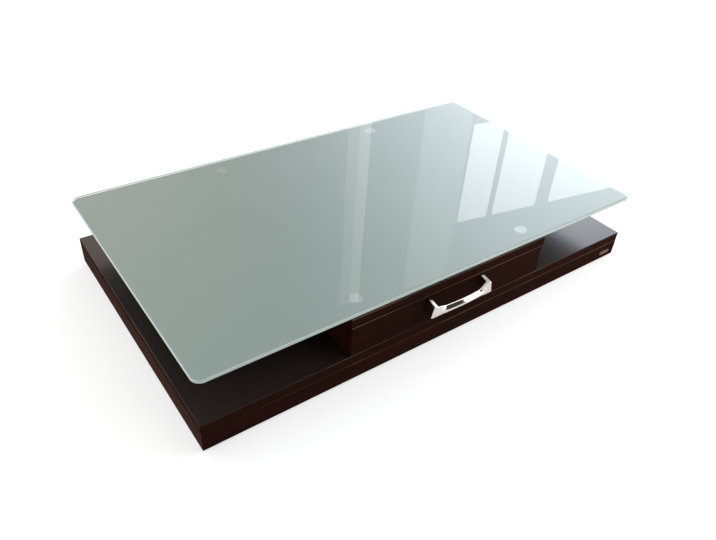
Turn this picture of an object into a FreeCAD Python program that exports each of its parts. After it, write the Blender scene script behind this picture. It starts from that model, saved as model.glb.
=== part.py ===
"""A low coffee table: a dark wooden base, a drawer cabinet in its middle and a glass top on metal discs.

Millimetres, +Z up, the drawer at the front, towards -Y. The origin lies on the floor, in the middle of
the table's box with the handle included.
"""

import FreeCAD, Part
import os

os.makedirs("parts", exist_ok=True)

# Base
base_length = 1200.0
base_depth = 680.0
base_board_thickness = 24.0
apron_height = 44.0
apron_thickness = 20.0
cross_rail_thickness = 30.0
cross_rail_to_screws = 2.0
corner_block_width = 70.0
board_edge_round = 1.5
glide_diameter = 40.0
glide_height = 5.0
glide_sink = 2.5
glide_edge_round = 1.5

# Badge, a blank oval plate on the front apron
badge_length = 38.0
badge_height = 11.0
badge_thickness = 1.6
badge_edge_round = 0.7
badge_to_base_end = 22.0
badge_to_base_foot = 14.0

# Cabinet
cabinet_width = 552.0
cabinet_height = 100.0
cabinet_top_thickness = 22.0
cabinet_top_overhang = 2.0
cabinet_wall = 18.0

# Drawer
drawer_front_thickness = 18.0
drawer_front_gap = 1.5
drawer_wall = 12.0
drawer_box_height = 56.0
drawer_box_lift = 8.0
drawer_floor_thickness = 4.0
drawer_floor_lift = 8.0
drawer_groove_depth = 6.0
drawer_groove_room = 0.2

# Handle
handle_length = 169.0
handle_end_reach = 27.0
handle_reach = 34.0
handle_bow = 2.0
handle_flare_length = 36.0
handle_end_height = 30.0
handle_middle_height = 19.0
handle_leg_thickness = 9.0
handle_bar_thickness = 7.0
handle_edge_round = 1.8
handle_thread_depth = 13.0
handle_to_front_top = 11.0

# Ball-bearing runners
runner_length = 450.0
runner_height = 45.0
runner_thickness = 12.7
runner_setback = 3.0
runner_steel = 1.2
runner_lip = 2.6
runner_tip_room = 1.5
running_gap = 0.3
ball_diameter = 4.0
ball_room = 0.1
ball_to_cage_end = 4.0
balls_in_row = 6
cage_steel = 0.5
cage_length = 200.0
cage_rim = 1.2

# Glass top and its discs
glass_thickness = 10.0
glass_corner_radius = 20.0
glass_edge_round = 3.0
disc_diameter = 31.0
disc_thickness = 3.0
disc_edge_round = 0.6
disc_boss_diameter = 12.0
disc_boss_length = 12.0
disc_to_cabinet_front = 44.0
disc_to_cabinet_side = 40.0

# Screws, bolts and dowels
screw_shank = 4.0
screw_head = 7.6
screw_head_height = 2.4
screw_room = 0.15
screws_in_row = 3
runner_screw_length = 11.0
runner_screw_inset = 30.0
glide_screw_length = 20.0
front_screw_length = 24.0
front_screw_inset = 60.0
front_screw_height_shares = (0.4, 0.8)
cabinet_screw_shank = 6.4
cabinet_screw_head = 10.0
cabinet_screw_length = 60.0
cabinet_screw_inset = 60.0
bolt_shank = 6.0
bolt_head = 11.0
bolt_head_height = 3.6
bolt_length = 18.0
dowel_diameter = 8.0
dowel_length = 28.0
dowel_chamfer = 1.0
drawer_dowel_diameter = 6.0
drawer_dowel_length = 24.0
drawer_dowel_height_shares = (0.5, 0.85)

# How far a cutting shape runs past the face that it opens
overrun = 2.0

# Places along the depth: the handle ends at the front of the table's box and the base at its back
base_front = handle_reach - (base_depth + handle_reach) / 2
base_back = base_front + base_depth
base_middle = (base_front + base_back) / 2
front_rear_face = base_front + drawer_front_thickness
cabinet_side_front = front_rear_face + drawer_front_gap
inner_front_rear = front_rear_face + drawer_wall

# Levels
base_foot = glide_height
board_foot = base_foot + apron_height
base_top = board_foot + base_board_thickness
cabinet_top = base_top + cabinet_height
cabinet_roof = cabinet_top - cabinet_top_thickness
glass_foot = cabinet_top + disc_thickness
glass_face = glass_foot + glass_thickness
front_foot = base_top + drawer_front_gap
front_top = cabinet_roof - drawer_front_gap
drawer_foot = base_top + drawer_box_lift
drawer_rim = drawer_foot + drawer_box_height
drawer_floor = drawer_foot + drawer_floor_lift
handle_top = front_top - handle_to_front_top
handle_foot = handle_top - handle_end_height
handle_middle = (handle_top + handle_foot) / 2
runner_middle = (drawer_foot + drawer_rim) / 2

# Half widths, measured from the middle plane
base_half = base_length / 2
cabinet_half = cabinet_width / 2
cabinet_side_half = cabinet_half - cabinet_top_overhang
cavity_half = cabinet_side_half - cabinet_wall
cabinet_wall_middle = cavity_half + cabinet_wall / 2
drawer_half = cavity_half - runner_thickness
drawer_inner_half = drawer_half - drawer_wall

# The drawer box hangs on runners as long as itself, less a setback at each end
runner_front = front_rear_face + runner_setback
runner_rear = runner_front + runner_length
drawer_rear = runner_rear + runner_setback
cage_front = runner_front + (runner_length - cage_length) / 2
cage_rear = cage_front + cage_length

# Half heights of the three nested rails, and of the ball races between them
race = ball_diameter + 2 * ball_room
outer_half = runner_height / 2
outer_race = outer_half - runner_steel - race / 2
middle_half = outer_half - runner_steel - race
inner_race = middle_half - runner_steel - race / 2
inner_half = middle_half - runner_steel - race

# Distances of the rails' webs and tips from the cabinet's side
outer_cage_web = runner_steel + running_gap
middle_web = outer_cage_web + cage_steel + running_gap
inner_cage_web = middle_web + runner_steel + running_gap
inner_tip = inner_cage_web + cage_steel + running_gap
rail_tip = runner_thickness - runner_tip_room
ball_line = runner_thickness / 2
cage_tip = ball_line + ball_diameter / 2 + cage_rim

UP = FreeCAD.Vector(0, 0, 1)
DOWN = FreeCAD.Vector(0, 0, -1)
BACK = FreeCAD.Vector(0, 1, 0)
FRONT = FreeCAD.Vector(0, -1, 0)
RIGHT = FreeCAD.Vector(1, 0, 0)
SIDES = {"left": -1, "right": 1}
ENDS = {"front": -1, "back": 1}


def at(x, y, z):
    return FreeCAD.Vector(x, y, z)


def spread(first, last, count):
    """Evenly spaced places from the first to the last."""
    return [first + (last - first) * i / (count - 1) for i in range(count)]


def corners(half_length, half_depth):
    """The four corners of a rectangle about the base's middle, by name."""
    return {
        end_name + "_" + side_name: (side * half_length, base_middle + end * half_depth)
        for end_name, end in ENDS.items()
        for side_name, side in SIDES.items()
    }


def block(x_span, y_span, z_span):
    """A box between two places on each axis, given in either order."""
    low = at(min(x_span), min(y_span), min(z_span))
    size = at(max(x_span), max(y_span), max(z_span)) - low
    return Part.makeBox(size.x, size.y, size.z, low)


def prism(points, along):
    """A solid swept from a closed outline of straight lines."""
    outline = Part.makePolygon(points + points[:1])
    return Part.Face(outline).extrude(along)


def cut_all(solid, tools):
    return solid.cut(Part.makeCompound(tools))


def upright(edge):
    """True for an edge that runs up more than along."""
    return edge.BoundBox.ZLength > edge.BoundBox.DiagonalLength / 2


def faces(edge, place, normal):
    """True for an edge that lies in the plane through a place, square to a normal."""
    return all(
        abs((vertex.Point - place).dot(normal)) < Part.Precision.confusion() for vertex in edge.Vertexes
    )


def rounded(solid, radius, keep=lambda edge: True):
    """The solid with a round on each edge that keep accepts."""
    return solid.makeFillet(radius, [edge for edge in solid.Edges if keep(edge)])


def sunk_screw(place, along, shank, head, length, room=0.0):
    """A flat-headed screw, from the middle of its head's face. Room widens it into its hole."""
    cone = Part.makeCone(head / 2 + room, shank / 2 + room, (head - shank) / 2, place, along)
    rod = Part.makeCylinder(shank / 2 + room, length + room, place, along)
    return cone.fuse(rod).removeSplitter()


def headed_screw(place, along, shank, head, head_height, length):
    """A round-headed screw, from the middle of the face under its head."""
    rod = Part.makeCylinder(shank / 2, length, place, along)
    cap = Part.makeCylinder(head / 2, head_height, place, along * -1)
    crown = place - along * head_height
    cap = rounded(cap, head_height / 2, lambda edge: edge.Closed and faces(edge, crown, along))
    return rod.fuse(cap).removeSplitter()


def hole(place, along, diameter, depth):
    """The hole for a rod that enters a face: a little wider than the rod and a little deeper."""
    start = place - along * overrun
    return Part.makeCylinder(diameter / 2 + screw_room, overrun + depth + screw_room, start, along)


def peg(place, along, diameter, length):
    """A dowel with chamfered ends, from the middle of its first end."""
    body = Part.makeCylinder(diameter / 2, length, place, along)
    return body.makeChamfer(dowel_chamfer, [edge for edge in body.Edges if edge.Closed])


def save(node, solids):
    """Writes one node, of one solid or of a group of like solids."""
    shape = solids[0] if len(solids) == 1 else Part.makeCompound(solids)
    shape.exportStep("parts/" + node + ".step")


# Rows and corners where pieces are fastened
side_rows = spread(cabinet_side_front + cabinet_screw_inset, base_back - cabinet_screw_inset, screws_in_row)
back_row = [-cavity_half / 2, cavity_half / 2]
wall_points = [(side * cabinet_wall_middle, y) for side in SIDES.values() for y in side_rows]
wall_points += [(x, base_back - cabinet_wall / 2) for x in back_row]
block_setback = apron_thickness + corner_block_width / 2
block_points = corners(base_half - block_setback, base_depth / 2 - block_setback)
disc_points = corners(cabinet_half - disc_to_cabinet_side, base_depth / 2 - disc_to_cabinet_front)
runner_rows = spread(runner_front + runner_screw_inset, runner_rear - runner_screw_inset, screws_in_row)
ball_rows = spread(cage_front + ball_to_cage_end, cage_rear - ball_to_cage_end, balls_in_row)
handle_points = [side * (handle_length - handle_leg_thickness) / 2 for side in SIDES.values()]
front_screw_points = [
    (side * (drawer_half - front_screw_inset), drawer_foot + drawer_box_height * share)
    for side in SIDES.values()
    for share in front_screw_height_shares
]
drawer_dowel_points = [
    (side, y, drawer_foot + drawer_box_height * share)
    for side in SIDES.values()
    for y in (front_rear_face + drawer_wall / 2, drawer_rear - drawer_wall / 2)
    for share in drawer_dowel_height_shares
]


def base_board():
    """The base's upper board, bored for the screws that hold the cabinet."""
    board = block((-base_half, base_half), (base_front, base_back), (board_foot, base_top))
    holes = [cabinet_screw(x, y, screw_room) for x, y in wall_points]
    return cut_all(rounded(board, board_edge_round), holes)


def apron(name):
    """One of the four mitred boards under the base's upper board, its long outer edges rounded."""
    sign = {**ENDS, **SIDES}[name]
    run, reach = (base_half, base_depth / 2) if name in ENDS else (base_depth / 2, base_half)
    inner_run = run - apron_thickness
    inner_reach = reach - apron_thickness
    outline = [(-run, reach), (run, reach), (inner_run, inner_reach), (-inner_run, inner_reach)]
    if name in ENDS:
        points = [at(along, base_middle + sign * out, base_foot) for along, out in outline]
    else:
        points = [at(sign * out, base_middle + along, base_foot) for along, out in outline]
    outward = BACK if name in ENDS else RIGHT
    solid = prism(points, UP * apron_height)
    return rounded(
        solid, board_edge_round, lambda edge: faces(edge, points[0], outward) and not upright(edge)
    )


def cross_rail(side):
    """A stiffener from apron to apron, just inside the row of the cabinet's screws."""
    outer = cabinet_wall_middle - cabinet_screw_head / 2 - cross_rail_to_screws
    inner = outer - cross_rail_thickness
    ends = (base_front + apron_thickness, base_back - apron_thickness)
    return block((side * outer, side * inner), ends, (base_foot, board_foot))


def corner_block(x, y):
    """A block in a corner of the aprons, bored for its glide's screw."""
    half = corner_block_width / 2
    solid = block((x - half, x + half), (y - half, y + half), (base_foot, board_foot))
    depth = glide_sink + glide_screw_length - base_foot
    return solid.cut(hole(at(x, y, base_foot), UP, screw_shank, depth))


def glide(x, y):
    """A low round foot, with a well for the head of the screw that holds it."""
    middle = at(x, y, 0)
    foot = Part.makeCylinder(glide_diameter / 2, glide_height, middle)
    foot = rounded(foot, glide_edge_round, lambda edge: edge.Closed and faces(edge, middle, UP))
    well = Part.makeCylinder(screw_head / 2 + screw_room, glide_sink, middle)
    return cut_all(foot, [well, glide_screw(x, y, screw_room)])


def glide_screw(x, y, room=0.0):
    return sunk_screw(at(x, y, glide_sink), UP, screw_shank, screw_head, glide_screw_length, room)


def badge():
    """A blank plate with round ends that lies on the front apron."""
    radius = badge_height / 2
    right = base_half - badge_to_base_end - radius
    left = right - badge_length + badge_height
    level = base_foot + badge_to_base_foot + radius
    face = base_front - badge_thickness
    plate = block((left, right), (base_front, face), (level - radius, level + radius))
    for x in (left, right):
        plate = plate.fuse(Part.makeCylinder(radius, badge_thickness, at(x, base_front, level), FRONT))
    plate = plate.removeSplitter()
    return rounded(plate, badge_edge_round, lambda edge: faces(edge, at(0, face, 0), BACK))


def wall_holes():
    """The holes that the cabinet's screws, from below, and dowels, from above, take in its walls."""
    drop = dowel_length - cabinet_top_thickness / 2
    holes = []
    for x, y in wall_points:
        holes.append(hole(at(x, y, board_foot), UP, cabinet_screw_shank, cabinet_screw_length))
        holes.append(hole(at(x, y, cabinet_roof), DOWN, dowel_diameter, drop))
    return holes


def cabinet_side(side):
    """A wall of the cabinet, bored for its screws, its dowels and its runner."""
    width = (side * cavity_half, side * cabinet_side_half)
    wall = block(width, (cabinet_side_front, base_back), (base_top, cabinet_roof))
    return cut_all(wall, wall_holes() + [runner_screw(side, y, False, screw_room) for y in runner_rows])


def cabinet_back():
    wall = block((-cavity_half, cavity_half), (base_back - cabinet_wall, base_back), (base_top, cabinet_roof))
    return cut_all(wall, wall_holes())


def cabinet_lid():
    """The cabinet's upper board, bored for the dowels, the discs and their bolts."""
    board = block((-cabinet_half, cabinet_half), (base_front, base_back), (cabinet_roof, cabinet_top))
    rise = cabinet_top_thickness / 2
    holes = [hole(at(x, y, cabinet_roof), UP, dowel_diameter, rise) for x, y in wall_points]
    for x, y in disc_points.values():
        holes.append(hole(at(x, y, cabinet_top), DOWN, disc_boss_diameter, disc_boss_length))
        holes.append(hole(at(x, y, cabinet_roof), UP, bolt_shank, cabinet_top_thickness))
    return cut_all(rounded(board, board_edge_round), holes)


def cabinet_screw(x, y, room=0.0):
    place = at(x, y, board_foot)
    return sunk_screw(place, UP, cabinet_screw_shank, cabinet_screw_head, cabinet_screw_length, room)


def cabinet_dowel(x, y):
    return peg(at(x, y, cabinet_roof + cabinet_top_thickness / 2), DOWN, dowel_diameter, dowel_length)


def glass_top():
    """The glass sheet, with round corners and rounded, polished edges."""
    sheet = block((-base_half, base_half), (base_front, base_back), (glass_foot, glass_face))
    sheet = rounded(sheet, glass_corner_radius, upright)
    return rounded(sheet, glass_edge_round, lambda edge: not upright(edge))


def glass_disc(x, y):
    """A metal disc bonded to the glass, with a threaded boss that drops into the cabinet's upper board."""
    middle = at(x, y, cabinet_top)
    plate = Part.makeCylinder(disc_diameter / 2, disc_thickness, middle)
    plate = rounded(plate, disc_edge_round, lambda edge: edge.Closed)
    boss = Part.makeCylinder(disc_boss_diameter / 2, disc_boss_length, middle, DOWN)
    tip = cabinet_roof + bolt_length
    end = cabinet_top - disc_boss_length
    return plate.fuse(boss).removeSplitter().cut(hole(at(x, y, end), UP, bolt_shank, tip - end))


def disc_bolt(x, y):
    return headed_screw(at(x, y, cabinet_roof), UP, bolt_shank, bolt_head, bolt_head_height, bolt_length)


def handle_holes():
    """The holes through the drawer's two fronts for the handle's screws."""
    depth = drawer_wall + drawer_front_thickness + overrun
    places = [at(x, inner_front_rear, handle_middle) for x in handle_points]
    return [hole(place, FRONT, screw_shank, depth) for place in places]


def front_screw_holes():
    """The holes in the drawer's two fronts for the screws that join them."""
    places = [at(x, inner_front_rear, z) for x, z in front_screw_points]
    return [hole(place, FRONT, screw_shank, front_screw_length) for place in places]


def drawer_front():
    """The drawer's applied front, which covers the front ends of the cabinet's sides."""
    width = (-cabinet_side_half, cabinet_side_half)
    panel = rounded(block(width, (base_front, front_rear_face), (front_foot, front_top)), board_edge_round)
    return cut_all(panel, front_screw_holes() + handle_holes())


def drawer_floor_space(room):
    """The drawer's bottom, and with room the groove that takes its edges in the walls around it."""
    bite = drawer_groove_depth - drawer_groove_room + room
    half = drawer_inner_half + bite
    ends = (inner_front_rear - bite, drawer_rear - drawer_wall + bite)
    return block((-half, half), ends, (drawer_floor - room, drawer_floor + drawer_floor_thickness + room))


def drawer_dowel_place(side, y, z):
    """Where a dowel starts in a drawer side, half way through it, and which way it goes."""
    return at(side * (drawer_half - drawer_wall / 2), y, z), RIGHT * -side


def drawer_dowel(side, y, z):
    place, inward = drawer_dowel_place(side, y, z)
    return peg(place, inward, drawer_dowel_diameter, drawer_dowel_length)


def drawer_joints():
    """What the drawer's four walls lose to its bottom and to the dowels in its corners."""
    cuts = [drawer_floor_space(drawer_groove_room)]
    for point in drawer_dowel_points:
        place, inward = drawer_dowel_place(*point)
        radius = drawer_dowel_diameter / 2 + screw_room
        cuts.append(Part.makeCylinder(radius, drawer_dowel_length + screw_room, place, inward))
    return cuts


def drawer_side(side):
    """A long wall of the drawer box, which carries the runner's inner rail."""
    width = (side * drawer_half, side * drawer_inner_half)
    wall = block(width, (front_rear_face, drawer_rear), (drawer_foot, drawer_rim))
    return cut_all(wall, drawer_joints() + [runner_screw(side, y, True, screw_room) for y in runner_rows])


def drawer_cross_wall(front):
    """A short wall between the drawer's sides."""
    ends = (front, front + drawer_wall)
    wall = block((-drawer_inner_half, drawer_inner_half), ends, (drawer_foot, drawer_rim))
    return cut_all(wall, drawer_joints())


def drawer_inner_front():
    return cut_all(drawer_cross_wall(front_rear_face), front_screw_holes() + handle_holes())


def drawer_front_screw(x, z):
    place = at(x, inner_front_rear, z)
    return headed_screw(place, FRONT, screw_shank, screw_head, screw_head_height, front_screw_length)


def handle_screw(x):
    place = at(x, inner_front_rear, handle_middle)
    length = drawer_wall + drawer_front_thickness + handle_thread_depth
    return headed_screw(place, FRONT, screw_shank, screw_head, screw_head_height, length)


def handle_contour(end, knee, end_reach, reach):
    """One side of the handle's plan: up each leg and along to its knee, and a bow between the knees."""
    def place(x, out):
        return at(x, base_front - out, handle_foot)

    shoulder = reach - handle_bow
    bow = Part.Arc(place(-knee, shoulder), place(0, reach), place(knee, shoulder)).toShape()
    legs = [
        Part.makePolygon([place(side * end, 0), place(side * end, end_reach), place(side * knee, shoulder)])
        for side in SIDES.values()
    ]
    return legs + [bow]


def handle():
    """A flat bar bent into a bow: tall where its legs stand, lower in the middle, with slanting ends."""
    end = handle_length / 2
    inner_end = end - handle_leg_thickness
    knee = end - handle_flare_length
    outer = handle_contour(end, knee, handle_end_reach, handle_reach)
    inner = handle_contour(
        inner_end, knee, handle_end_reach - handle_bar_thickness, handle_reach - handle_bar_thickness
    )
    feet = [
        Part.makeLine(at(side * end, base_front, handle_foot), at(side * inner_end, base_front, handle_foot))
        for side in SIDES.values()
    ]
    edges = [edge for wire in outer + inner + feet for edge in wire.Edges]
    plan = Part.Face(Part.Wire(Part.__sortEdges__(edges)))
    dip = handle_foot + handle_middle_height
    right = [(end, handle_foot), (end, handle_top), (knee, dip)]
    outline = right + [(-x, z) for x, z in reversed(right)]
    face = prism([at(x, base_front, z) for x, z in outline], FRONT * (handle_reach + overrun))
    bar = plan.extrude(UP * handle_end_height).common(face).removeSplitter()
    bar = rounded(bar, handle_edge_round, lambda edge: not faces(edge, at(0, base_front, 0), BACK))
    feet_middles = [at(x, base_front, handle_middle) for x in handle_points]
    return cut_all(bar, [hole(place, FRONT, screw_shank, handle_thread_depth) for place in feet_middles])


def rail(profile, side, ends):
    """A profile of distance from the cabinet's side and height, swept along the depth."""
    front, rear = ends
    points = [at(side * (cavity_half - out), front, runner_middle + up) for out, up in profile]
    return prism(points, BACK * (rear - front))


def mirrored(lower):
    """An outline closed by the mirror image of its lower half."""
    return lower + [(out, -up) for out, up in reversed(lower)]


def channel(web, tip, half):
    """A lipped channel's outline, open from its web towards its tip."""
    step = runner_steel if tip > web else -runner_steel
    foot = [(web, -half), (tip, -half), (tip, runner_lip - half)]
    lip = [(tip - step, runner_lip - half), (tip - step, runner_steel - half)]
    return mirrored(foot + lip + [(web + step, runner_steel - half)])


def runner_screw(side, y, in_drawer, room=0.0):
    """A flat screw, flush in a rail's web: out into the cabinet's side, or in into the drawer's side."""
    out = runner_thickness - runner_steel if in_drawer else runner_steel
    into = RIGHT * (-side if in_drawer else side)
    place = at(side * (cavity_half - out), y, runner_middle)
    return sunk_screw(place, into, screw_shank, screw_head, runner_screw_length, room)


def outer_rail(side):
    solid = rail(channel(0, rail_tip, outer_half), side, (runner_front, runner_rear))
    return cut_all(solid, [runner_screw(side, y, False, screw_room) for y in runner_rows])


def middle_rail(side):
    return rail(channel(middle_web, rail_tip, middle_half), side, (runner_front, runner_rear))


def inner_rail(side):
    solid = rail(channel(runner_thickness, inner_tip, inner_half), side, (runner_front, runner_rear))
    return cut_all(solid, [runner_screw(side, y, True, screw_room) for y in runner_rows])


def ball_place(side, y, up):
    return at(side * (cavity_half - ball_line), y, runner_middle + up)


def ball_cage(side, web, race_height):
    """A thin channel that keeps the balls of two races apart, with a hole for each ball."""
    half = race_height + cage_steel / 2
    strip = [(web, -half), (cage_tip, -half), (cage_tip, cage_steel - half)]
    outline = mirrored(strip + [(web + cage_steel, cage_steel - half)])
    solid = rail(outline, side, (cage_front, cage_rear))
    radius = ball_diameter / 2 + ball_room
    holes = [Part.makeCylinder(radius, runner_height, ball_place(side, y, -outer_half)) for y in ball_rows]
    return cut_all(solid, holes)


def balls(side, race_height):
    """The balls of a cage, in the races above and below the rail's middle."""
    places = [ball_place(side, y, up) for y in ball_rows for up in (-race_height, race_height)]
    return [Part.makeSphere(ball_diameter / 2, place) for place in places]


save("base_top_board", [base_board()])
for name in ("front", "back", "left", "right"):
    save(name + "_apron", [apron(name)])
for corner, point in block_points.items():
    save("corner_block_" + corner, [corner_block(*point)])
    save("glide_" + corner, [glide(*point)])
save("glide_screws", [glide_screw(*point) for point in block_points.values()])
save("badge", [badge()])

save("cabinet_back", [cabinet_back()])
save("cabinet_top", [cabinet_lid()])
save("cabinet_screws", [cabinet_screw(*point) for point in wall_points])
save("cabinet_dowels", [cabinet_dowel(*point) for point in wall_points])

save("drawer_front", [drawer_front()])
save("drawer_inner_front", [drawer_inner_front()])
save("drawer_back", [drawer_cross_wall(drawer_rear - drawer_wall)])
save("drawer_bottom", [drawer_floor_space(0)])
save("drawer_dowels", [drawer_dowel(*point) for point in drawer_dowel_points])
save("drawer_front_screws", [drawer_front_screw(*point) for point in front_screw_points])
save("handle", [handle()])
save("handle_screws", [handle_screw(x) for x in handle_points])

for name, side in SIDES.items():
    save(name + "_cross_rail", [cross_rail(side)])
    save("cabinet_" + name + "_side", [cabinet_side(side)])
    save("drawer_" + name + "_side", [drawer_side(side)])
    save(name + "_outer_rail", [outer_rail(side)])
    save(name + "_middle_rail", [middle_rail(side)])
    save(name + "_inner_rail", [inner_rail(side)])
    save(name + "_outer_cage", [ball_cage(side, outer_cage_web, outer_race)])
    save(name + "_inner_cage", [ball_cage(side, inner_cage_web, inner_race)])
    save(name + "_outer_balls", balls(side, outer_race))
    save(name + "_inner_balls", balls(side, inner_race))
for node, in_drawer in (("runner_cabinet_screws", False), ("runner_drawer_screws", True)):
    save(node, [runner_screw(side, y, in_drawer) for side in SIDES.values() for y in runner_rows])

save("glass_top", [glass_top()])
for corner, point in disc_points.items():
    save("glass_disc_" + corner, [glass_disc(*point)])
save("disc_bolts", [disc_bolt(*point) for point in disc_points.values()])
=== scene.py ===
"""The looks of a low coffee table: its finishes, handle, discs and lacquer, the light and the camera."""

import math

import bmesh
import bpy
from mathutils import Matrix, Quaternion, Vector

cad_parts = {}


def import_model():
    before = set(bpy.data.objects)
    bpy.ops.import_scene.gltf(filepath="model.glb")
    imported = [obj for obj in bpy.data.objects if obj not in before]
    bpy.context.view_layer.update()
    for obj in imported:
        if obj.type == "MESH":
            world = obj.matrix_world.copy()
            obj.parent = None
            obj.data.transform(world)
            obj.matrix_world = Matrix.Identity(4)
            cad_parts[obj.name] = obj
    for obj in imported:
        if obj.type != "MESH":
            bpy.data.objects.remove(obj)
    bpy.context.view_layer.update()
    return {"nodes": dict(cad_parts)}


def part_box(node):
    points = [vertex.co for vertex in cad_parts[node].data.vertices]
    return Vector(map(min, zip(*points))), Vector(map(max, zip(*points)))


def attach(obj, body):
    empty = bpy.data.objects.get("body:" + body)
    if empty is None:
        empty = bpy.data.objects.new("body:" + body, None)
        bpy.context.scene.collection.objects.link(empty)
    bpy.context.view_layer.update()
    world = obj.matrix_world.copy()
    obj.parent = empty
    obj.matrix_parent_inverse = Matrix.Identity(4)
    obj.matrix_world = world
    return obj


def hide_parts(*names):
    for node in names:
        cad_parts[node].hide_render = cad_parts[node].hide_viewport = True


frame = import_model()
nodes = frame["nodes"]

MM = 0.001
CORNERS = [end + "_" + side for end in ("front", "back") for side in ("left", "right")]

# The glass: its corners in plan, its rounded edges, the pale ground band round them, and the tints of its
# faces and of that band, whose pale tint is a painted glow of the light carried along inside the glass
GLASS_CORNER = 20 * MM
GLASS_EDGE_ROUND = 3 * MM
GROUND_WIDTH = 1.2 * MM
GROUND_FADE = 0.4 * MM
GLASS_TINT = (0.90, 0.965, 0.94)
GROUND_GLOW_TINT = (0.53, 0.62, 0.575)


# Shader nodes

def fill(tree, node, inputs):
    """Sets or links a node's inputs, by name or by number."""
    for key, value in inputs.items():
        if isinstance(value, bpy.types.NodeSocket):
            tree.links.new(value, node.inputs[key])
        else:
            node.inputs[key].default_value = value


def add(tree, kind, inputs=None, **settings):
    """A new shader node with its settings and inputs."""
    node = tree.nodes.new("ShaderNode" + kind)
    for name, value in settings.items():
        setattr(node, name, value)
    fill(tree, node, inputs or {})
    return node


def math_node(tree, operation, first, second=0.0):
    return add(tree, "Math", {0: first, 1: second}, operation=operation).outputs[0]


def vector_math(tree, operation, first, second, output="Vector"):
    return add(tree, "VectorMath", {0: first, 1: second}, operation=operation).outputs[output]


def own_place(tree):
    """The piece's own coordinates, which move with it."""
    return add(tree, "TexCoord").outputs["Object"]


def noise(tree, scale, detail=4.0, distortion=0.0):
    """A cloud pattern with a number of spots to the metre along each axis."""
    place = add(tree, "Mapping", {"Vector": own_place(tree), "Scale": scale}).outputs["Vector"]
    inputs = {"Vector": place, "Scale": 1.0, "Detail": detail, "Distortion": distortion}
    return add(tree, "TexNoise", inputs).outputs["Fac"]


def spread(tree, value, low, high, to_low=0.0, to_high=1.0):
    """A value taken from one range to another and held at its ends."""
    inputs = {"Value": value, "From Min": low, "From Max": high, "To Min": to_low, "To Max": to_high}
    return add(tree, "MapRange", inputs).outputs["Result"]


def weigh(tree, first, second, share):
    """The sum of two patterns, with a share of the second."""
    return math_node(tree, "ADD", math_node(tree, "MULTIPLY", first, 1.0 - share),
                     math_node(tree, "MULTIPLY", second, share))


def weigh_by(tree, share, first, second):
    """A value between two, by a share that is a socket."""
    return add(tree, "Mix", {"Factor": share, "A": first, "B": second}, data_type="FLOAT").outputs["Result"]


def blend_colours(tree, share, first, second):
    """A colour between two, which are sockets or (red, green, blue)."""
    node = add(tree, "Mix", {"Factor": share}, data_type="RGBA")
    for name, colour in (("A", first), ("B", second)):
        socket = next(s for s in node.inputs if s.name == name and s.type == "RGBA")
        if isinstance(colour, bpy.types.NodeSocket):
            tree.links.new(colour, socket)
        else:
            socket.default_value = (*colour, 1.0)
    return next(s for s in node.outputs if s.type == "RGBA")


def bump(tree, height, strength, distance):
    inputs = {"Height": height, "Strength": strength, "Distance": distance}
    return add(tree, "Bump", inputs).outputs["Normal"]


def rise(tree):
    """How far a face looks up: 1 for a level face and 0 for an upright one."""
    return add(tree, "SeparateXYZ", {0: add(tree, "NewGeometry").outputs["True Normal"]}).outputs["Z"]


def up_share(tree):
    """1 on the faces that look up and 0 on the others."""
    return spread(tree, rise(tree), 0.8, 0.9)


def polish_share(tree):
    """1 on the faces that look up, less on rounded upper edges, and a trace of it on upright faces."""
    edges = spread(tree, rise(tree), 0.42, 0.55, 0.035, 0.45)
    return math_node(tree, "MAXIMUM", edges, spread(tree, rise(tree), 0.93, 0.97))


def rubbed_and_highlight_edges(tree):
    """1 on a board's rounded upper edges, which get wear and a painted highlight, 0 on its flat faces."""
    tilted = spread(tree, rise(tree), 0.05, 0.2)
    off_level = spread(tree, rise(tree), 0.99, 0.93)
    return math_node(tree, "MULTIPLY", tilted, off_level)


def new_material(name):
    """A material with a Principled shader, its tree and that shader."""
    made = bpy.data.materials.new(name)
    made.use_nodes = True
    tree = made.node_tree
    tree.nodes.clear()
    shader = add(tree, "BsdfPrincipled")
    add(tree, "OutputMaterial", {"Surface": shader.outputs["BSDF"]})
    return made, tree, shader


def along(axis, run, across):
    """Pattern scales that are long along one axis and fine across it."""
    return tuple(run if name == axis else across for name in "XYZ")


# Finishes

# The stained veneer: its dark and light grain, and that grain painted paler on the base's ends as painted
# light, its pores and their depth, its upper faces painted a neutral grey as painted shade and sheen, and its
# rubbed upper edges, paler partly from wear and partly from a painted highlight
WOOD_GRAIN = ((0.0145, 0.0040, 0.0021), (0.0345, 0.0096, 0.0047))
WOOD_PAINTED_LIT_ENDS = ((0.026, 0.0088, 0.0052), (0.061, 0.021, 0.0117))
WOOD_PORES = (0.0046, 0.0018, 0.0013)
WOOD_PORE_DEPTH = 0.1 * MM
WOOD_TOP_PAINTED_SHADE_AND_SHEEN = (0.013, 0.0108, 0.0102)
WOOD_RUBBED_AND_HIGHLIGHT = (0.1, 0.052, 0.03)


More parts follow.
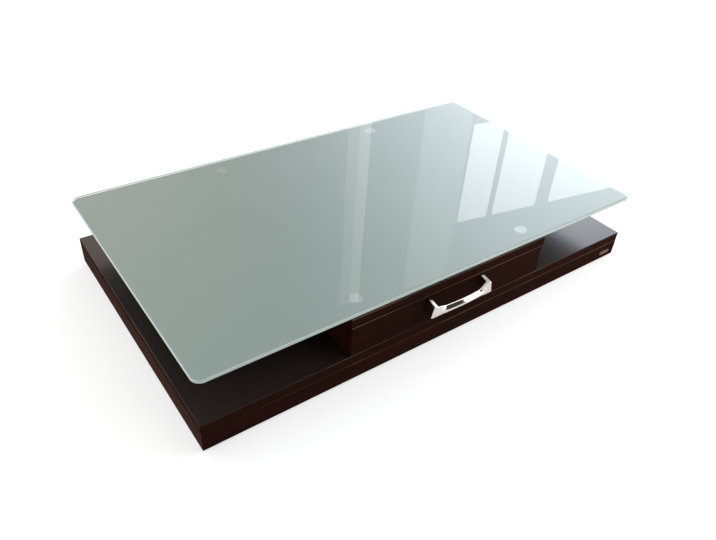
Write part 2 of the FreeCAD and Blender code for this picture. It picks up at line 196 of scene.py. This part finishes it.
def dark_wood(name, axis, grain=WOOD_GRAIN):
    """Stained veneer with straight grain along an axis, polished and painted grey on top as shade and sheen,
    with its upper edges paler from wear and a painted highlight.
    """
    made, tree, shader = new_material(name)
    bands = noise(tree, along(axis, 1.3, 16.0), 3.0, 0.4)
    streaks = noise(tree, along(axis, 2.6, 210.0), 6.0, 0.3)
    pores = spread(tree, noise(tree, along(axis, 28.0, 1500.0), 2.0), 0.58, 0.72)
    tone = spread(tree, weigh(tree, bands, streaks, 0.45), 0.33, 0.68)
    colour = blend_colours(tree, tone, *grain)
    colour = blend_colours(tree, math_node(tree, "MULTIPLY", pores, 0.7), colour, WOOD_PORES)
    # Upper faces are painted a neutral grey: a painted shade under the glass and a painted sheen.
    colour = blend_colours(tree, math_node(tree, "MULTIPLY", up_share(tree), 0.7), colour, WOOD_TOP_PAINTED_SHADE_AND_SHEEN)
    # Upper edges are painted paler: partly wear and partly a painted highlight along the arrises.
    patches = spread(tree, noise(tree, (5.2, 5.2, 5.2), 4.0), 0.46, 0.64)
    rubbed_and_highlight = math_node(tree, "MULTIPLY", rubbed_and_highlight_edges(tree), patches)
    fill(tree, shader, {
        "Base Color": blend_colours(tree, rubbed_and_highlight, colour, WOOD_RUBBED_AND_HIGHLIGHT),
        "Roughness": spread(tree, streaks, 0.3, 0.7, 0.10, 0.19),
        "Specular IOR Level": 0.0,
        "Coat Weight": polish_share(tree),
        "Coat Roughness": 0.24,
        "Coat IOR": 1.48,
        "Normal": bump(tree, math_node(tree, "SUBTRACT", 1.0, pores), 0.12, WOOD_PORE_DEPTH),
    })
    return made


# The pale woods inside: their light and dark grain and least roughness, the depth of their grain, and the
# plies on their upper edges, light and dark in turn
BIRCH = {"light": (0.60, 0.45, 0.29), "dark": (0.50, 0.35, 0.20), "roughness": 0.35}
BEECH = {"light": (0.58, 0.42, 0.27), "dark": (0.46, 0.31, 0.18), "roughness": 0.55}
PALE_GRAIN_DEPTH = 0.2 * MM
PLY_THICKNESS = 1.5 * MM
PLY_FADE_START = 0.6 * MM
PLY_FADE_END = 0.9 * MM


def pale_wood(name, axis, light, dark, roughness, plies_across=None):
    """Bare or thinly lacquered pale wood with fine grain along an axis, and plies on its upper edge."""
    made, tree, shader = new_material(name + "_" + axis.lower() + ("_ply" if plies_across else ""))
    bands = noise(tree, along(axis, 2.0, 30.0), 3.0, 0.6)
    lines = noise(tree, along(axis, 5.0, 420.0), 5.0)
    flecks = spread(tree, noise(tree, along(axis, 60.0, 900.0), 1.0), 0.6, 0.75)
    shade = tuple(part * 0.6 for part in dark)
    colour = blend_colours(tree, spread(tree, weigh(tree, bands, lines, 0.5), 0.35, 0.65), light, dark)
    colour = blend_colours(tree, math_node(tree, "MULTIPLY", flecks, 0.5), colour, shade)
    if plies_across:
        place = add(tree, "SeparateXYZ", {0: own_place(tree)}).outputs[plies_across]
        waves = math_node(tree, "PINGPONG", place, PLY_THICKNESS)
        layers = spread(tree, waves, PLY_FADE_START, PLY_FADE_END)
        rim = math_node(tree, "MULTIPLY", layers, up_share(tree))
        colour = blend_colours(tree, math_node(tree, "MULTIPLY", rim, 0.75), colour, shade)
    fill(tree, shader, {
        "Base Color": colour,
        "Roughness": spread(tree, lines, 0.3, 0.7, roughness, roughness + 0.15),
        "Normal": bump(tree, lines, 0.2, PALE_GRAIN_DEPTH),
    })
    return made


# The plated and polished metals: each one's colour, its least roughness, what wear adds to that at most, and
# the worn spots to the metre
METALS = {
    "badge_bronze": {"colour": (0.175, 0.072, 0.057), "roughness": 0.34, "wear": 0.16, "spots": 260.0},
    "zinc_plate": {"colour": (0.62, 0.64, 0.66), "roughness": 0.28, "wear": 0.14, "spots": 200.0},
    "cage_steel": {"colour": (0.55, 0.55, 0.54), "roughness": 0.3, "wear": 0.12, "spots": 300.0},
    "ball_steel": {"colour": (0.74, 0.74, 0.76), "roughness": 0.05, "wear": 0.05, "spots": 900.0},
    "screw_zinc": {"colour": (0.66, 0.65, 0.61), "roughness": 0.25, "wear": 0.15, "spots": 500.0},
    "chrome": {"colour": (0.66, 0.61, 0.58), "roughness": 0.03, "wear": 0.05, "spots": 140.0},
}


def metal(name):
    """One of the metals, with its shine a little uneven from handling."""
    made, tree, shader = new_material(name)
    colour, roughness, wear, spots = (METALS[name][part] for part in ("colour", "roughness", "wear", "spots"))
    clouds = noise(tree, (spots, spots, spots), 5.0)
    dull = tuple(part * 0.88 for part in colour)
    fill(tree, shader, {
        "Base Color": blend_colours(tree, spread(tree, clouds, 0.35, 0.7), colour, dull),
        "Metallic": 1.0,
        "Roughness": spread(tree, clouds, 0.3, 0.75, roughness, roughness + wear),
    })
    return made


# The turned aluminium's clean and dull tones, and the moulded plastic's two tones and the depth of its grain
TURNED_TONES = ((0.33, 0.365, 0.34), (0.28, 0.31, 0.29))
PLASTIC_TONES = ((0.022, 0.022, 0.023), (0.034, 0.034, 0.035))
PLASTIC_GRAIN_DEPTH = 0.1 * MM


def turned_metal():
    """Aluminium turned about an upright axis, whose fine rings spread each highlight into fans."""
    made, tree, shader = new_material("disc_metal")
    clouds = noise(tree, (300.0, 300.0, 300.0), 5.0)
    tone = spread(tree, clouds, 0.35, 0.7)
    fill(tree, shader, {
        "Base Color": blend_colours(tree, tone, *TURNED_TONES),
        "Metallic": 0.6,
        "Roughness": spread(tree, clouds, 0.3, 0.75, 0.24, 0.34),
        "Anisotropic": 0.9,
        "Tangent": add(tree, "Tangent", direction_type="RADIAL", axis="Z").outputs["Tangent"],
    })
    return made


def moulded_plastic():
    made, tree, shader = new_material("glide_plastic")
    grains = noise(tree, (900.0, 900.0, 900.0), 2.0)
    fill(tree, shader, {
        "Base Color": blend_colours(tree, grains, *PLASTIC_TONES),
        "Roughness": spread(tree, grains, 0.3, 0.7, 0.45, 0.6),
        "Normal": bump(tree, grains, 0.3, PLASTIC_GRAIN_DEPTH),
    })
    return made


def ground_edge(tree):
    """1 on the band round the glass's edge and 0 on its faces."""
    low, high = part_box("glass_top")
    reach = (high - low) / 2 - Vector((GLASS_CORNER, GLASS_CORNER, 0))
    offset = vector_math(tree, "SUBTRACT", own_place(tree), (low + high) / 2)
    offset = vector_math(tree, "ABSOLUTE", offset, (0, 0, 0))
    past = vector_math(tree, "MAXIMUM", vector_math(tree, "SUBTRACT", offset, reach), (0, 0, 0))
    flat = vector_math(tree, "MULTIPLY", past, (1, 1, 0))
    distance = vector_math(tree, "LENGTH", flat, (0, 0, 0), "Value")
    start = GLASS_CORNER - GROUND_WIDTH
    return spread(tree, distance, start, start + GROUND_FADE)


def clear_glass():
    """Float glass, faintly green, with a trace of handling on its face and a ground edge painted pale as a
    glow.
    """
    made, tree, shader = new_material("clear_glass")
    smears = noise(tree, (7.0, 11.0, 7.0), 6.0, 1.5)
    face_roughness = spread(tree, smears, 0.5, 0.8, 0.0, 0.03)
    edge = ground_edge(tree)
    fill(tree, shader, {
        # The ground band's pale tint is a painted glow of the light that the lacquer sends along inside the
        # glass.
        "Base Color": blend_colours(tree, edge, GLASS_TINT, GROUND_GLOW_TINT),
        "Roughness": math_node(tree, "MAXIMUM", face_roughness, math_node(tree, "MULTIPLY", edge, 0.3)),
        "IOR": 1.5,
        "Transmission Weight": spread(tree, edge, 0.0, 1.0, 1.0, 0.1),
    })
    return made


def satin_lacquer(name, pale, deep):
    """A satin coat on the glass's underside."""
    made, tree, shader = new_material(name)
    clouds = noise(tree, (3.0, 3.0, 3.0), 4.0)
    grains = noise(tree, (1400.0, 1400.0, 1400.0), 2.0)
    tone = spread(tree, weigh(tree, clouds, grains, 0.4), 0.3, 0.7)
    fill(tree, shader, {
        "Base Color": blend_colours(tree, tone, deep, pale),
        "Roughness": spread(tree, grains, 0.3, 0.7, 0.7, 0.85),
        "Specular IOR Level": 0.1,
    })
    return made


def apply(finish, *names):
    """Gives CAD nodes a finish."""
    for name in names:
        mesh = nodes[name].data
        mesh.materials.clear()
        mesh.materials.append(finish)


def dress_wood():
    fronts = ("base_top_board", "front_apron", "back_apron", "cabinet_top", "cabinet_back", "drawer_front")
    apply(dark_wood("dark_wood_x", "X"), *fronts)
    apply(dark_wood("dark_wood_y", "Y"), "cabinet_left_side", "cabinet_right_side")
    # The ends' paler grain is painted light: the base's end faces are painted as if they catch more light
    # than its fronts.
    apply(dark_wood("dark_wood_painted_lit_ends", "Y", WOOD_PAINTED_LIT_ENDS), "left_apron", "right_apron")
    apply(pale_wood("birch", "X", **BIRCH), "drawer_bottom")
    apply(pale_wood("birch", "X", **BIRCH, plies_across="Y"), "drawer_inner_front", "drawer_back")
    apply(pale_wood("birch", "Y", **BIRCH, plies_across="X"), "drawer_left_side", "drawer_right_side")
    apply(pale_wood("beech", "Y", **BEECH), "left_cross_rail", "right_cross_rail")
    beech_x = pale_wood("beech", "X", **BEECH)
    apply(beech_x, "drawer_dowels", *["corner_block_" + corner for corner in CORNERS])
    apply(pale_wood("beech", "Z", **BEECH), "cabinet_dowels")


def dress_metal():
    apply(metal("badge_bronze"), "badge")
    zinc = metal("zinc_plate")
    cage = metal("cage_steel")
    polished = metal("ball_steel")
    screw = metal("screw_zinc")
    for side in ("left", "right"):
        apply(zinc, *[side + "_" + part + "_rail" for part in ("outer", "middle", "inner")])
        apply(cage, side + "_outer_cage", side + "_inner_cage")
        apply(polished, side + "_outer_balls", side + "_inner_balls")
    apply(screw, "glide_screws", "cabinet_screws", "drawer_front_screws", "handle_screws", "disc_bolts",
          "runner_cabinet_screws", "runner_drawer_screws")


def dress_glass():
    """The glass lets lamps through, so that the lacquer takes all its light straight."""
    apply(clear_glass(), "glass_top")
    glass = nodes["glass_top"]
    glass.visible_shadow = False
    glass.visible_diffuse = False


dress_wood()
dress_metal()
dress_glass()
apply(moulded_plastic(), *["glide_" + corner for corner in CORNERS])


# Pieces

def new_piece(name, mesh, finishes, body):
    """Makes a bmesh into a piece that rides on a body."""
    made = bpy.data.meshes.new(name)
    mesh.to_mesh(made)
    mesh.free()
    for finish in finishes:
        made.materials.append(finish)
    piece = bpy.data.objects.new(name, made)
    bpy.context.scene.collection.objects.link(piece)
    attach(piece, body)
    return piece


def skin(mesh, loops):
    """Quads between closed loops of as many points each. Returns the loops' vertices."""
    rows = [[mesh.verts.new(point) for point in loop] for loop in loops]
    for row, following in zip(rows, rows[1:]):
        for i in range(len(row)):
            mesh.faces.new((row[i - 1], row[i], following[i], following[i - 1]))
    return rows


def close(mesh, rows):
    """Caps a skin's two ends and turns its faces outwards."""
    mesh.faces.new(rows[0])
    mesh.faces.new(rows[-1])
    bmesh.ops.recalc_face_normals(mesh, faces=mesh.faces)


# The lacquer under the glass, open where the discs are bonded to it. It has a pale and a deep tone through
# the glass, and another two from below.
LACQUER_FACE = ((0.22, 0.272, 0.252), (0.204, 0.254, 0.235))
LACQUER_UNDERSIDE = ((0.82, 0.85, 0.84), (0.78, 0.81, 0.80))
LACQUER_THICKNESS = 0.3 * MM
WINDOW_ROOM = 0.3 * MM
WINDOW_SEGMENTS = 48
CORNER_SEGMENTS = 16


def ring(middle, radius, start, turn, segments):
    """Points on an arc about a middle, from a start angle, over a turn."""
    angles = [start + turn * i / segments for i in range(segments + 1)]
    return [middle + Vector((math.cos(a), math.sin(a))) * radius for a in angles]


def glass_outline():
    """The edge of the glass's flat underside."""
    low, high = (corner.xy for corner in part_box("glass_top"))
    inset = Vector((GLASS_CORNER, GLASS_CORNER))
    low = low + inset
    high = high - inset
    middles = ((high.x, high.y), (low.x, high.y), (low.x, low.y), (high.x, low.y))
    quarter = math.pi / 2
    points = []
    for i, middle in enumerate(middles):
        points += ring(Vector(middle), GLASS_CORNER - GLASS_EDGE_ROUND, i * quarter, quarter, CORNER_SEGMENTS)
    return points


def lacquer():
    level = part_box("glass_top")[0].z + LACQUER_THICKNESS / 2
    loops = [glass_outline()]
    for corner in CORNERS:
        low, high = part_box("glass_disc_" + corner)
        radius = (high.x - low.x) / 2 + WINDOW_ROOM
        loops.append(ring((low.xy + high.xy) / 2, radius, 0, math.tau, WINDOW_SEGMENTS)[:-1])
    mesh = bmesh.new()
    edges = []
    for loop in loops:
        verts = [mesh.verts.new((*point, level)) for point in loop]
        edges += [mesh.edges.new((verts[i - 1], verts[i])) for i in range(len(verts))]
    bmesh.ops.triangle_fill(mesh, edges=edges, use_beauty=True, normal=(0, 0, 1))
    finishes = [satin_lacquer("satin_lacquer", *LACQUER_FACE),
                satin_lacquer("lacquer_underside", *LACQUER_UNDERSIDE)]
    piece = new_piece("glass_lacquer", mesh, finishes, "table")
    coat = piece.modifiers.new("coat", "SOLIDIFY")
    coat.thickness = LACQUER_THICKNESS
    coat.offset = -1.0
    coat.material_offset = 1
    coat.material_offset_rim = 1


# The turned discs between the cabinet and the glass, whose faces reach a hair into the glass. Each groove
# has its outer and inner edge as shares of the radius.
DISC_BOND = 0.1 * MM
DISC_EDGE = 0.6 * MM
DISC_BOSS_RADIUS = 6 * MM
DISC_GROOVE_DEPTH = 0.15 * MM
DISC_GROOVES = ((0.84, 0.80), (0.66, 0.62))
TURN_SEGMENTS = 72


def turned(mesh, middle, profile):
    """A closed turned form about an upright axis, from (radius, level) pairs, with flat ends."""
    loops = []
    for radius, level in profile:
        loops.append([(*point, level) for point in ring(middle, radius, 0, math.tau, TURN_SEGMENTS)[:-1]])
    close(mesh, skin(mesh, loops))


def disc(corner, finish):
    node = "glass_disc_" + corner
    low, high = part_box(node)
    radius = (high.x - low.x) / 2
    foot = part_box("cabinet_top")[1].z
    top = high.z + DISC_BOND
    profile = [(DISC_BOSS_RADIUS, low.z), (DISC_BOSS_RADIUS, foot), (radius - DISC_EDGE, foot),
               (radius, foot + DISC_EDGE), (radius, top - DISC_EDGE), (radius - DISC_EDGE, top)]
    for start, end in DISC_GROOVES:
        profile += [(radius * start, top), (radius * start, top - DISC_GROOVE_DEPTH),
                    (radius * end, top - DISC_GROOVE_DEPTH), (radius * end, top)]
    mesh = bmesh.new()
    turned(mesh, (low.xy + high.xy) / 2, profile)
    piece = new_piece("turned_disc_" + corner, mesh, [finish], "table")
    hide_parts(node)


# The handle: a bar bent into a bow, with legs that rise to the drawer, tall flat ends that lean out towards
# their feet and a crowned middle
HANDLE_END_REACH = 27 * MM
HANDLE_BOW = 2 * MM
HANDLE_FLARE = 36 * MM
HANDLE_MIDDLE_HEIGHT = 19 * MM
HANDLE_LEG = 9 * MM
HANDLE_BAR = 8.5 * MM
HANDLE_LEAN = 4 * MM
HANDLE_LEG_RISE = 6 * MM
HANDLE_RIDGE_SHARE = 0.54
HANDLE_UPPER_SLOPE = math.radians(36)
HANDLE_LOWER_SLOPE = math.radians(30)
HANDLE_RIDGE_ROUND = 1.2 * MM
HANDLE_EDGE_ROUND = 2 * MM
HANDLE_BAR_ROUND_SHARE = 0.35
HANDLE_SHARP_ANGLE = math.radians(35)
HANDLE_ROUND_SEGMENTS = 3
FLARE_STEPS = 10
BOW_STEPS = 12
CROWN_STEPS = 14


def ridge_fall(share):
    """How far the bar's front falls back from its ridge, at a share of its height below its top."""
    below = (share - HANDLE_RIDGE_SHARE) * HANDLE_MIDDLE_HEIGHT
    slope = math.tan(HANDLE_LOWER_SLOPE if below > 0 else HANDLE_UPPER_SLOPE)
    return slope * (math.hypot(below, HANDLE_RIDGE_ROUND) - HANDLE_RIDGE_ROUND)


def handle_section(outer, inner, foot, top, crown, lean):
    """A closed section of the bar between two points of its plan, crowned to the front and leaning out."""
    outer = Vector(outer)
    inner = Vector(inner)
    forward = (outer - inner).normalized()

    def leaning(point, level):
        share = (foot + HANDLE_MIDDLE_HEIGHT - level) / HANDLE_MIDDLE_HEIGHT
        return Vector((point.x + lean * share, -point.y, level))

    points = []
    for i in range(CROWN_STEPS + 1):
        share = i / CROWN_STEPS
        level = top + (foot - top) * share
        points.append(leaning(outer - forward * crown * ridge_fall(share), level))
    return points + [leaning(inner, foot), leaning(inner, top)]


def handle_half(end, reach, foot, top):
    """The sections from the right foot to the middle, with the drawer's face at zero depth."""
    knee = end - HANDLE_FLARE
    shoulder = reach - HANDLE_BOW
    corner_outer = Vector((end, HANDLE_END_REACH))
    corner_inner = Vector((end - HANDLE_LEG, HANDLE_END_REACH - HANDLE_BAR))
    knee_outer = Vector((knee, shoulder))
    knee_inner = Vector((knee, shoulder - HANDLE_BAR))
    leg_top = top + HANDLE_LEG_RISE
    sections = [handle_section((end, 0), (end - HANDLE_LEG, 0), foot, leg_top, 0, HANDLE_LEAN)]
    dip = foot + HANDLE_MIDDLE_HEIGHT
    for i in range(FLARE_STEPS + 1):
        share = i / FLARE_STEPS
        crown = share * share * (3 - 2 * share)
        outer = corner_outer.lerp(knee_outer, share)
        inner = corner_inner.lerp(knee_inner, share)
        level = top + (dip - top) * share
        sections.append(handle_section(outer, inner, foot, level, crown, HANDLE_LEAN * (1 - share)))
    for i in range(1, BOW_STEPS + 1):
        x = knee * (1 - i / BOW_STEPS)
        out = reach - HANDLE_BOW * (x / knee) ** 2
        sections.append(handle_section((x, out), (x, out - HANDLE_BAR), foot, dip, 1, 0))
    return sections


def soften(mesh, knee):
    """Weighs the sharp edges for rounding, in full on the legs and ever less from there to the knees."""
    weights = mesh.edges.layers.float.new("bevel_weight_edge")
    for edge in mesh.edges:
        if edge.calc_face_angle() > HANDLE_SHARP_ANGLE:
            past = max(abs(vert.co.x) for vert in edge.verts) - knee
            share = min(max(past / HANDLE_FLARE, 0), 1)
            edge[weights] = HANDLE_BAR_ROUND_SHARE + (1 - HANDLE_BAR_ROUND_SHARE) * share


def handle():
    low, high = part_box("handle")
    right = handle_half(high.x, high.y - low.y, low.z, high.z)
    left = [[Vector((-point.x, point.y, point.z)) for point in section] for section in reversed(right[:-1])]
    wall = Vector((0, high.y, 0))
    mesh = bmesh.new()
    close(mesh, skin(mesh, [[point + wall for point in section] for section in right + left]))
    soften(mesh, high.x - HANDLE_FLARE)
    piece = new_piece("bow_handle", mesh, [metal("chrome")], "drawer")
    for face in piece.data.polygons:
        face.use_smooth = True
    rounding = piece.modifiers.new("rounded_edges", "BEVEL")
    rounding.width = HANDLE_EDGE_ROUND
    rounding.segments = HANDLE_ROUND_SEGMENTS
    rounding.limit_method = "WEIGHT"
    piece.modifiers.new("even_shading", "WEIGHTED_NORMAL")
    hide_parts("handle")


lacquer()
disc_metal = turned_metal()
for corner in CORNERS:
    disc(corner, disc_metal)
handle()


# Stage

FLOOR_REACH = 40.0
FLOOR_COLOUR = (0.5, 0.5, 0.5, 1.0)
FLOOR_GLOW = 0.58


def seen_rays(tree):
    """1 for the rays that show the stage itself, straight or in a mirror or glass, and 0 for the others."""
    path = add(tree, "LightPath").outputs
    seen = math_node(tree, "MAXIMUM", path["Is Camera Ray"], path["Is Glossy Ray"])
    return math_node(tree, "MAXIMUM", seen, path["Is Transmission Ray"])


def floor():
    """A floor that keeps the shadow, lifted towards white to the eye and not in the light that it gives."""
    mesh = bpy.data.meshes.new("floor")
    corners = [(x * FLOOR_REACH, y * FLOOR_REACH, 0.0) for x, y in ((-1, -1), (1, -1), (1, 1), (-1, 1))]
    mesh.from_pydata(corners, [], [(0, 1, 2, 3)])
    piece = bpy.data.objects.new("floor", mesh)
    bpy.context.scene.collection.objects.link(piece)
    made, tree, shader = new_material("floor")
    fill(tree, shader, {
        "Base Color": FLOOR_COLOUR,
        "Roughness": 1.0,
        "Specular IOR Level": 0.0,
        "Emission Color": (1.0, 1.0, 1.0, 1.0),
        "Emission Strength": math_node(tree, "MULTIPLY", seen_rays(tree), FLOOR_GLOW),
    })
    mesh.materials.append(made)


def direction(azimuth, elevation):
    """A unit vector from degrees about +X and above the floor."""
    turn = math.radians(azimuth)
    tilt = math.radians(elevation)
    level = math.cos(tilt)
    return Vector((math.cos(turn) * level, math.sin(turn) * level, math.sin(tilt)))


# The studio's walls: dark towards the front, pale at the back and near the floor, with a broad cool glow
# and a weaker warm one. Each glow is full within its core and gone at its reach, in degrees. A band is where
# one brightness goes over into the next, by how far a view looks to the back or up.
STUDIO_LOW = 0.9
STUDIO_FRONT = 0.06
STUDIO_BACK = 0.9
STUDIO_TOP = 0.8
STUDIO_BACK_BAND = (-0.5, 0.5)
STUDIO_TOP_BAND = (0.6, 0.95)
STUDIO_LOW_BAND = (0.22, 0.12)
GLOWS = {
    "cool": {"towards": direction(27, 18), "core": 8, "reach": 38, "colour": (2.9, 3.25, 3.75)},
    "warm": {"towards": direction(84, 31), "core": 5, "reach": 25, "colour": (0.62, 0.36, 0.17)},
}


def world():
    made = bpy.data.worlds.new("studio")
    bpy.context.scene.world = made
    made.use_nodes = True
    tree = made.node_tree
    tree.nodes.clear()
    towards = add(tree, "TexCoord").outputs["Generated"]
    parts = add(tree, "SeparateXYZ", {0: towards}).outputs
    walls = spread(tree, parts["Y"], *STUDIO_BACK_BAND, STUDIO_FRONT, STUDIO_BACK)
    above = spread(tree, parts["Z"], *STUDIO_TOP_BAND)
    near_floor = spread(tree, parts["Z"], *STUDIO_LOW_BAND)
    level = weigh_by(tree, above, walls, STUDIO_TOP)
    level = weigh_by(tree, near_floor, level, STUDIO_LOW)
    light = add(tree, "CombineXYZ", {0: level, 1: level, 2: level}).outputs[0]
    for glow in GLOWS.values():
        nearness = vector_math(tree, "DOT_PRODUCT", towards, glow["towards"], "Value")
        edge, core = (math.cos(math.radians(glow[name])) for name in ("reach", "core"))
        share = math_node(tree, "POWER", spread(tree, nearness, edge, core), 2.0)
        inputs = {0: glow["colour"], "Scale": share}
        scaled = add(tree, "VectorMath", inputs, operation="SCALE").outputs["Vector"]
        light = vector_math(tree, "ADD", light, scaled)
    shown = add(tree, "Background", {"Color": light, "Strength": 1.0})
    add(tree, "OutputWorld", {"Surface": shown.outputs[0]})


def panel(name, middle, aim, size, radiance, mirrored=True):
    """A soft lamp of even brightness, hidden from the camera, that shows in reflections if mirrored."""
    light = bpy.data.lights.new(name, "AREA")
    light.shape = "RECTANGLE"
    width, height = size
    light.size = width
    light.size_y = height
    light.energy = radiance * math.pi * width * height
    lamp = bpy.data.objects.new(name, light)
    bpy.context.scene.collection.objects.link(lamp)
    lamp.location = middle
    lamp.rotation_euler = (Vector(aim) - Vector(middle)).to_track_quat("-Z", "Y").to_euler()
    lamp.visible_camera = False
    lamp.visible_glossy = mirrored


# A row of upright soft boxes stands behind the table to the right, beside dim tall screens, and its
# reflection crosses the glass. Each has its start and end along the row and its brightness.
WALL_DIRECTION = 80
WALL_DISTANCE = 2.6
BOX_LEVELS = (1.49, 2.40)
BOXES = {"box_left": (2.30, 2.60, 2.4), "box_middle": (2.66, 3.13, 2.4), "box_right": (3.28, 4.1, 2.4)}
SCREEN_LEVELS = (0.9, 3.0)
SCREENS = {
    "screen_left": (1.22, 1.31, 0.45),
    "screen_middle": (1.31, 1.40, 0.9),
    "screen_right": (1.84, 2.27, 0.45),
}

# The lamps that light the object: where each stands, what it faces, its width and height, and its brightness.
# The side lamp isn't mirrored, because it would whiten the glass in low views from the right end.
LAMPS = {
    "key": {"middle": (1.17, -1.23, 0.8), "aim": (0, 0, 0.8), "size": (0.755, 1.46), "radiance": 2.4},
    "front": {"middle": (0.95, -1.25, 1.75), "aim": (0.15, -0.3, 0.1), "size": (1.9, 1.2), "radiance": 2.4},
    "rim": {"middle": (-1.8, 1.9, 1.6), "aim": (0, 0, 0.1), "size": (1.9, 1.9), "radiance": 1.2},
    "side": {"middle": (-1.9, -0.35, 0.75), "aim": (-0.5, -0.1, 0.1), "size": (1.6, 1.2), "radiance": 1.1,
             "mirrored": False},
}


def wall_panel(name, start, end, radiance, levels):
    foot, top = levels
    outward = direction(WALL_DIRECTION, 0)
    sideways = direction(WALL_DIRECTION - 90, 0)
    middle = outward * WALL_DISTANCE + sideways * (start + end) / 2
    middle.z = (foot + top) / 2
    panel(name, middle, middle - outward, (end - start, top - foot), radiance)


def lights():
    for row, levels in ((BOXES, BOX_LEVELS), (SCREENS, SCREEN_LEVELS)):
        for name, values in row.items():
            wall_panel(name, *values, levels)
    for name, values in LAMPS.items():
        panel(name, **values)


# The photograph's view: the camera's place, the point it looks at, its slight roll, and its sensor and lens
CAMERA_PLACE = Vector((-0.8518, -1.0614, 1.0136))
CAMERA_AIM = Vector((-0.1152, -0.1238, 0.1))
CAMERA_ROLL = math.radians(4.28)
CAMERA_SENSOR = 36.0
CAMERA_LENS = 32.86


def camera():
    lens = bpy.data.cameras.new("camera")
    lens.sensor_fit = "HORIZONTAL"
    lens.sensor_width = CAMERA_SENSOR
    lens.lens = CAMERA_LENS
    made = bpy.data.objects.new("camera", lens)
    bpy.context.scene.collection.objects.link(made)
    turn = (CAMERA_AIM - CAMERA_PLACE).to_track_quat("-Z", "Y") @ Quaternion((0, 0, 1), CAMERA_ROLL)
    made.matrix_world = Matrix.Translation(CAMERA_PLACE) @ turn.to_matrix().to_4x4()
    bpy.context.scene.camera = made


floor()
world()
lights()
camera()
bpy.context.scene.view_settings.view_transform = "Standard"
